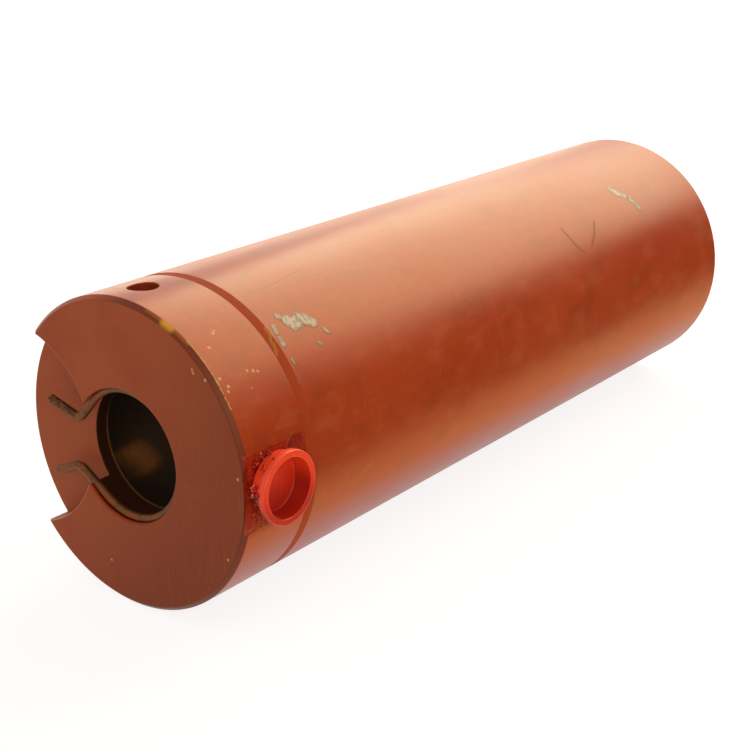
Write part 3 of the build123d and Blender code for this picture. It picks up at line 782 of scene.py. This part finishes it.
def springWire():
    # Drawn spring steel, dull brown, with orange overspray and dark paint left on the upper leg
    material, tree = newMaterial("drawnSpringWire")
    at = wrapped(tree)
    fine = grain(tree, at["place"], (1.4, 1.4, 1.4), 3, 4)
    cloud = grain(tree, at["place"], (7, 5, 7), 3, 6)
    paint = {"colour": twoTone(tree, fine, wireLook["tones"]), "rough": 0.40,
             "height": together(tree, fine, 0.05)}
    layOver(tree, paint, (above(tree, cloud, 0.56, 0.12), 0.6), wireLook["overspray"], 0.5)
    legAcross, legUp = wireLook["upperLeg"]
    leg = together(tree, below(tree, at["across"], legAcross, 2), above(tree, at["up"], legUp, 1),
                   above(tree, fine, 0.52, 0.06), 0.8)
    layOver(tree, paint, leg, wireLook["darkPaint"], 0.5)
    finishSurface(tree, paint, **{"Metallic": 0.45, "Specular Tint": hexColour(wireLook["tint"])})
    return material


seatSteel = greasySeat()
clipWire = springWire()
# Phosphated gland and screws: even dark grey, a little sheen
glandSteel = workedSurface("phosphatedSteel", "3C3A38", "4A4744", 0.44, 9, 0.35, Metallic=0.85)
blackSteel = workedSurface("blackenedSteel", "232221", "302E2C", 0.42, 7, lift=0.02, Metallic=0.8)
# Turned and oiled steel: bright, with fine rings
turnedSteel = workedSurface("turnedSteel", "8E8A84", "7C7872", 0.30, 12, 0.4, Metallic=1.0)
# Hard chrome, polished: a clear mirror with a cool cast
hardChrome = workedSurface("hardChrome", "C9CCD0", "BFC3C8", 0.09, 40, lift=0.001, Metallic=1.0)
saddleSteel = workedSurface("forgedSaddleSteel", "4E4A46", "5E5953", 0.40, 8, 0.5, Metallic=0.9)
bronze = workedSurface("leadedBronze", "9A7038", "8A602C", 0.36, 6, 0.5, Metallic=1.0)
# Black nitrile rubber: matt; the wiper is a dark blue polyurethane with a slight shine
sealRubber = workedSurface("nitrileRubber", "151515", "1D1D1D", 0.52, 5)
wiperRubber = workedSurface("polyurethaneWiper", "2A3A52", "25334A", 0.42, 6)
ringPlastic = workedSurface("filledPlasticRing", "6B4A2A", "75522F", 0.45, 4)

# Pieces inside that keep their CAD mesh
cadFinishes = (
    (sealRubber, ("head_o_ring", "gland_o_ring", "rod_o_ring", "piston_seal")),
    (ringPlastic, ("head_backup_ring", "seal_backup_ring", "piston_guide_rings")),
    (bronze, ("rod_bush",)),
    (wiperRubber, ("rod_wiper",)),
    (blackSteel, ("gland_lock_screw", "nut_lock_screw")),
    (turnedSteel, ("rear_spring_washer", "front_spring_washer", "piston", "piston_nut")),
)
for material, nodes in cadFinishes:
    for node in nodes:
        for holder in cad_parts[node].material_slots:
            holder.material = material

print("barrel")


def makeBarrel():
    size = barrelSizes
    outline = [
        (size["threadRadius"], headLength),
        (outerRadius - size["bevelDepth"], headLength),
        (outerRadius, headLength + size["bevelLength"]),
        (outerRadius, bodyLength - size["rimChamfer"]),
        (outerRadius - size["rimChamfer"], bodyLength),
        (size["threadRadius"] + size["leadChamfer"], bodyLength),
        (size["threadRadius"], bodyLength - size["leadChamfer"]),
        (size["threadRadius"], size["glandThreadStart"]),
        (size["boreRadius"], size["glandThreadStart"]),
        (size["boreRadius"], size["headThreadEnd"]),
        (size["threadRadius"], size["headThreadEnd"]),
    ]
    return turnedPiece("barrelTube", roundedOutline(outline, size["edge"]))


dress(makeBarrel(), barrelEnamel(), "cylinder", "barrel", slot="barrel_paint")

print("end head and ball seat")

headSizes = {"edge": 0.4, "seatEdge": 0.2}
dress(softenedCopy("endHeadBlock", "end_head", headSizes["edge"]), headEnamel(), "cylinder", "end_head",
      slot="head_paint")
dress(softenedCopy("ballSeatCup", "ball_seat", headSizes["seatEdge"]), seatSteel, "cylinder",
      "ball_seat", slot="seat_steel")

print("wire clip")

clip = {
    "wireDiameter": 4.0,
    "depth": 4.2,
    "ringRadius": 29.1,
    "legReach": 22.0,
    "bendRadius": 5.5,
    # Per leg: degrees above the notch's middle, corner radius, side
    "legs": ((15.75, 32.2, 1), (-22.6, 35.3, -1)),
    "sides": 28,
    "bendSteps": 12,
    "ringSteps": 120,
}


def clipPath():
    # Points of the wire's centre line from the upper leg's tip, round the ring, to the lower tip
    def point(radius, angle):
        return Vector((-radius * cos(radians(angle)), clip["depth"], radius * sin(radians(angle))))

    ends = []
    turns = []
    for angle, cornerRadius, side in clip["legs"]:
        ringAngle = angle + side * degrees(acos(clip["ringRadius"] / cornerRadius))
        tip = point(clip["ringRadius"] + clip["legReach"], angle)
        corner = point(cornerRadius, angle)
        join = point(clip["ringRadius"], ringAngle)
        back, ahead = (tip - corner).normalized(), (join - corner).normalized()
        half = back.angle(ahead) / 2
        reach = clip["bendRadius"] / tan(half)
        centre = corner + (back + ahead).normalized() * clip["bendRadius"] / sin(half)
        first, last = corner + back * reach - centre, corner + ahead * reach - centre
        sweep = first.angle(last)
        bend = []
        for step in range(clip["bendSteps"] + 1):
            share = step / clip["bendSteps"]
            spoke = (first * sin((1 - share) * sweep) + last * sin(share * sweep)) / sin(sweep)
            bend.append(centre + spoke)
        ends.append([tip] + bend)
        turns.append(ringAngle)
    around = 360 + turns[1] - turns[0]
    steps = clip["ringSteps"]
    ring = [point(clip["ringRadius"], turns[0] + around * step / steps) for step in range(steps + 1)]
    return ends[0] + ring + ends[1][::-1]


def startTree(name, inputs, output):
    # Geometry Nodes tree with named inputs and one output, and the sockets of those inputs
    tree = bpy.data.node_groups.new(name, "GeometryNodeTree")
    for label, kind in inputs:
        tree.interface.new_socket(label, in_out="INPUT", socket_type="NodeSocket" + kind)
    tree.interface.new_socket(output, in_out="OUTPUT", socket_type="NodeSocketGeometry")
    return tree, addNode(tree, "NodeGroupInput").outputs


def endTree(tree, given, geometry, output):
    # Real mesh in the given finish as the tree's output
    real = addNode(tree, "GeometryNodeRealizeInstances", {"Geometry": geometry})
    finished = addNode(tree, "GeometryNodeSetMaterial", {"Geometry": real, "Material": given["Finish"]})
    addNode(tree, "NodeGroupOutput", {output: finished})
    return tree


def wireTree():
    # Geometry Nodes: a round wire swept along the curve that it is given
    tree, given = startTree("bentWire", (
        ("Path", "Geometry"), ("Wire diameter", "Float"), ("Sides", "Int"), ("Finish", "Material")), "Wire")
    radius = addNode(tree, "ShaderNodeMath", {0: given["Wire diameter"], 1: 0.5}, operation="MULTIPLY")
    section = addNode(tree, "GeometryNodeCurvePrimitiveCircle",
                      {"Resolution": given["Sides"], "Radius": radius})
    swept = addNode(tree, "GeometryNodeCurveToMesh",
                    {"Curve": given["Path"], "Profile Curve": section, "Fill Caps": True})
    return endTree(tree, given, swept, "Wire")


def runTree(name, source, tree, values):
    # Runs a Geometry Nodes tree on an object and returns the result as a plain mesh piece
    modifier = source.modifiers.new(tree.name, "NODES")
    modifier.node_group = tree
    for item in tree.interface.items_tree:
        if item.in_out == "INPUT" and item.name in values:
            modifier[item.identifier] = values[item.name]
    data = builtMesh(source)
    bpy.data.objects.remove(source)
    return placeObject(name, data)


def makeClip():
    points = clipPath()
    curve = bpy.data.curves.new("clipPath", "CURVE")
    curve.dimensions = "3D"
    spline = curve.splines.new("POLY")
    spline.points.add(len(points) - 1)
    for place, point in zip(spline.points, points):
        place.co = (*(point * mm), 1)
    piece = runTree("socketClipWire", placeObject("clipPath", curve), wireTree(),
                    {"Wire diameter": clip["wireDiameter"] * mm, "Sides": clip["sides"],
                     "Finish": clipWire})
    mesh = mergedMesh(piece.data)
    bmesh.ops.recalc_face_normals(mesh, faces=mesh.faces)
    mesh.to_mesh(piece.data)
    mesh.free()
    shadeEvenly(piece)
    return piece


dress(makeClip(), clipWire, "cylinder", "socket_clip", slot="spring_wire")

print("port plug")

plug = {
    "flatX": 67.9,
    "portPlace": 18.2,
    "rim": 16.0,
    "rimThickness": 3.4,
    "height": 8.8,
    "hollow": 13.0,
    "draft": 0.9,            # how much narrower the hollow is at its floor
    "floor": 0.4,
    "web": 1.6,
    "neck": 14.4,
    "seatGap": 0.3,
    "shank": 11.75,
    "shankWall": 1.7,
    "shankLength": 13.0,
    "edge": 0.8,
}


plugLook = {
    "tones": ("DC2208", "F03A14"),
    "rough": 0.36,
    "wallShade": "8A1006",
    "paintedRimGlow": "FF5024",
    "rimShade": "A81C0A",
    "scuff": "A81608",
    "oldPaint": "6A1A10",
    "paintRidge": "9A3A22",
}


def plugPlastic():
    # Moulded polyethylene: bright, waxy and a little see-through, with old paint left low on its neck
    material, tree = newMaterial("mouldedPolyethylene")
    at = wrapped(tree)
    place, out, up = at["place"], at["across"], at["up"]
    centred = addNode(tree, "ShaderNodeVectorMath", {0: place, 1: (0, plug["portPlace"], 0)},
                      operation="SUBTRACT")
    level = addNode(tree, "ShaderNodeVectorMath", {0: centred, 1: (0, 1, 1)}, operation="MULTIPLY")
    fromAxis = addNode(tree, "ShaderNodeVectorMath", {0: level}, operation="LENGTH")
    cloud = grain(tree, place, (7, 7, 7), 3, 1)
    fine = grain(tree, place, (0.9, 0.9, 0.9), 2, 3)
    paint = {"colour": twoTone(tree, cloud, plugLook["tones"]), "rough": plugLook["rough"],
             "height": together(tree, fine, 0.02)}
    # Painted shade inside the hollow, most at the lower right, where the thin wall also shows the dark port
    # behind it
    wall = together(tree, band(tree, fromAxis, plug["hollow"] - 1.2, plug["hollow"] - 0.05, 0.25),
                    band(tree, out, plug["flatX"] + 0.8, plug["flatX"] + 8.2, 0.5))
    side = addNode(tree, "ShaderNodeMath", {0: up, 1: -0.8, 2: at["along"]}, operation="MULTIPLY_ADD")
    layOver(tree, paint, (wall, above(tree, side, 25, 16), 0.85), plugLook["wallShade"])
    # Painted light: the upper rim is lightened as a glow of light through it, and the lower rim is darkened
    # as painted shade
    layOver(tree, paint, (above(tree, up, 8, 12), 0.6), plugLook["paintedRimGlow"])
    layOver(tree, paint, (below(tree, up, -9, 9), 0.6), plugLook["rimShade"])
    # Scuffs across the hollow's floor
    onFloor = together(tree, below(tree, fromAxis, 11.5, 0.5),
                       band(tree, out, plug["flatX"] - 9, plug["flatX"] + 1, 0.3))
    streaks = grain(tree, place, (9, 1.6, 5), 4, 12)
    layOver(tree, paint, (onFloor, above(tree, streaks, 0.5, 0.2), 0.35), plugLook["scuff"], 0.5)
    # Dark paint that ran over the lower part of the neck
    ragged = grain(tree, place, (3, 3, 3), 3, 6)
    line = addNode(tree, "ShaderNodeMath", {0: ragged, 1: 10.0, 2: up}, operation="MULTIPLY_ADD")
    onNeck = together(tree, band(tree, fromAxis, plug["neck"] - 0.8, plug["neck"] + 0.8, 0.3),
                      below(tree, out, plug["flatX"] + 5.6, 0.3))
    painted = together(tree, below(tree, line, 6.0, 1.5), onNeck)
    layOver(tree, paint, painted, plugLook["oldPaint"], 0.4, 0.15)
    layOver(tree, paint, (painted, above(tree, ragged, 0.55, 0.1)), plugLook["paintRidge"], 0.3, 0.15)
    finishSurface(tree, paint, **{"IOR": 1.51, "Subsurface Weight": 0.15,
                                  "Subsurface Radius": (0.003, 0.0006, 0.0003), "Subsurface Scale": 0.5})
    return material


def makePlug():
    size = plug
    web = size["floor"] - size["web"]
    outline = [
        (0, size["floor"]),
        (0, web),
        (size["shank"] - size["shankWall"], web),
        (size["shank"] - size["shankWall"], -size["shankLength"]),
        (size["shank"], -size["shankLength"]),
        (size["shank"], size["seatGap"]),
        (size["neck"], size["seatGap"]),
        (size["neck"], size["height"] - size["rimThickness"]),
        (size["rim"], size["height"] - size["rimThickness"]),
        (size["rim"], size["height"]),
        (size["hollow"], size["height"]),
        (size["hollow"] - size["draft"], size["floor"]),
    ]
    return turnedPiece("portCap", roundedOutline(outline, size["edge"], 5), 160,
                       (size["flatX"], size["portPlace"], 0), "X")


dress(makePlug(), plugPlastic(), "port_plug", "port_plug", slot="plug_plastic")

# Torn film on the plug's neck, and bits of it on the head round the neck. Angles are in degrees from
# the top towards the front face.
flakes = {
    "neckFlakes": {"body": "port_plug", "count": 18, "seed": 7, "angles": (8, 112), "radius": 14.9,
                   "heights": (0.6, 5.6), "longest": 4.2},
    "flatFlakes": {"body": "cylinder", "count": 12, "seed": 12, "angles": (14, 150), "radius": 16.2,
                   "heights": (0.2, 0.9), "longest": 2.3},
}
flakeShape = {
    "smallest": (0.5, 0.25, 0.07),   # shares of the longest: length, width, thickness
    "largest": (1.0, 0.6, 0.14),
    "curl": 7.0,
    "crumple": 0.5,
    "crumpleScale": 3.0,
}


def flakeTree():
    # Geometry Nodes: thin curled flakes stood at random round the plug's neck
    tree, given = startTree("tornFlakes", (
        ("Count", "Int"), ("Seed", "Int"), ("From angle", "Float"), ("To angle", "Float"),
        ("Radius", "Float"), ("Lowest", "Float"), ("Highest", "Float"), ("Length", "Float"),
        ("Centre", "Vector"), ("Finish", "Material")), "Flakes")
    angle = addNode(tree, "FunctionNodeRandomValue",
                    {2: given["From angle"], 3: given["To angle"], 8: given["Seed"]}).outputs[1]
    otherSeed = addNode(tree, "ShaderNodeMath", {0: given["Seed"], 1: 31.0}, operation="ADD")
    height = addNode(tree, "FunctionNodeRandomValue",
                     {2: given["Lowest"], 3: given["Highest"], 8: otherSeed}).outputs[1]
    sine = addNode(tree, "ShaderNodeMath", {0: angle}, operation="SINE")
    cosine = addNode(tree, "ShaderNodeMath", {0: angle}, operation="COSINE")
    across = addNode(tree, "ShaderNodeMath", {0: sine, 1: -1.0}, operation="MULTIPLY")
    spoke = addNode(tree, "ShaderNodeCombineXYZ", {"Y": across, "Z": cosine})
    ring = addNode(tree, "ShaderNodeVectorMath", {0: spoke, "Scale": given["Radius"]}, operation="SCALE")
    stand = addNode(tree, "ShaderNodeCombineXYZ", {"X": height})
    place = addNode(tree, "ShaderNodeVectorMath", {0: ring, 1: stand}, operation="ADD")
    place = addNode(tree, "ShaderNodeVectorMath", {0: place, 1: given["Centre"]}, operation="ADD")
    points = addNode(tree, "GeometryNodePoints", {"Count": given["Count"], "Position": place})
    turn = addNode(tree, "FunctionNodeRandomValue",
                   {0: (0, 0, 0), 1: (2 * pi, 2 * pi, 2 * pi), 8: given["Seed"]},
                   data_type="FLOAT_VECTOR").outputs[0]
    size = addNode(tree, "FunctionNodeRandomValue",
                   {0: flakeShape["smallest"], 1: flakeShape["largest"], 8: otherSeed},
                   data_type="FLOAT_VECTOR").outputs[0]
    size = addNode(tree, "ShaderNodeVectorMath", {0: size, "Scale": given["Length"]}, operation="SCALE")
    # A ball squashed thin by its scale and curled along its length makes a flake
    ball = addNode(tree, "GeometryNodeMeshIcoSphere", {"Radius": 0.5, "Subdivisions": 3})
    spot = addNode(tree, "GeometryNodeInputPosition")
    spotParts = addNode(tree, "ShaderNodeSeparateXYZ", {"Vector": spot})
    curl = addNode(tree, "ShaderNodeMath", {0: spotParts.outputs["X"], 1: spotParts.outputs["X"]},
                   operation="MULTIPLY")
    curl = addNode(tree, "ShaderNodeMath", {0: curl, 1: flakeShape["curl"]}, operation="MULTIPLY")
    rough = addNode(tree, "ShaderNodeTexNoise", {"Scale": flakeShape["crumpleScale"], "Detail": 2.0})
    bent = addNode(tree, "ShaderNodeCombineXYZ", {"Z": curl})
    wander = addNode(tree, "ShaderNodeVectorMath",
                     {0: rough.outputs["Color"], "Scale": flakeShape["crumple"]}, operation="SCALE")
    shift = addNode(tree, "ShaderNodeVectorMath", {0: bent, 1: wander}, operation="ADD")
    flake = addNode(tree, "GeometryNodeSetPosition", {"Geometry": ball.outputs["Mesh"], "Offset": shift})
    spread = addNode(tree, "GeometryNodeInstanceOnPoints",
                     {"Points": points, "Instance": flake, "Rotation": turn, "Scale": size})
    return endTree(tree, given, spread, "Flakes")


tornLook = {"tones": ("E43416", "C4240E"), "stretched": "E0A090", "painted": "7A2416"}


def tornPlastic():
    # Torn film of the same plastic: white where it was stretched, dark red where it was painted
    material, tree = newMaterial("tornPolyethylene")
    blotch = grain(tree, wrapped(tree)["place"], (1.3, 1.3, 1.3), 2, 5)
    paint = {"colour": twoTone(tree, blotch, tornLook["tones"]), "rough": 0.38,
             "height": together(tree, blotch, 0.03)}
    layOver(tree, paint, above(tree, blotch, 0.66, 0.06), tornLook["stretched"], 0.3)
    layOver(tree, paint, below(tree, blotch, 0.42, 0.05), tornLook["painted"], 0.45)
    finishSurface(tree, paint)
    return material


def makeFlakes(name, size, material):
    angles = [radians(angle) for angle in size["angles"]]
    lowest, highest = (height * mm for height in size["heights"])
    piece = runTree(name, placeObject(name + "Source", bpy.data.meshes.new(name)), flakeTree(), {
        "Count": size["count"], "Seed": size["seed"], "From angle": angles[0], "To angle": angles[1],
        "Radius": size["radius"] * mm, "Lowest": lowest, "Highest": highest,
        "Length": size["longest"] * mm, "Centre": (plug["flatX"] * mm, plug["portPlace"] * mm, 0),
        "Finish": material})
    piece.data.shade_smooth()
    return piece


tornFilm = tornPlastic()
for name, size in flakes.items():
    dress(makeFlakes(name, size, tornFilm), tornFilm, size["body"])

print("return spring")


def makeSpring():
    piece = addPiece("returnCoil", mergedMesh(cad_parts["return_spring"].data))
    shadeEvenly(piece)
    return piece


# The coil, which closes up towards the gland as the ram runs out, gets a mesh of its own here
coil = dress(makeSpring(), blackSteel, "cylinder", "return_spring", slot="black_steel")
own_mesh(coil)

print("far end")

farPieces = {
    "gland": {"name": "glandRing", "edge": 0.35, "finish": glandSteel, "body": "cylinder",
              "slot": "gland_steel"},
    "breather": {"name": "breatherScrew", "edge": 0.25, "finish": bronze, "body": "cylinder",
                 "slot": "bronze"},
    "saddle": {"name": "loadSaddle", "edge": 0.35, "finish": saddleSteel, "body": "ram",
               "slot": "saddle_steel"},
    "piston_rod": {"name": "chromedRod", "edge": 0.3, "finish": hardChrome, "body": "ram",
                   "slot": "rod_chrome"},
}
for node, look in farPieces.items():
    dress(softenedCopy(look["name"], node, look["edge"]), look["finish"], look["body"], node,
          slot=look["slot"])
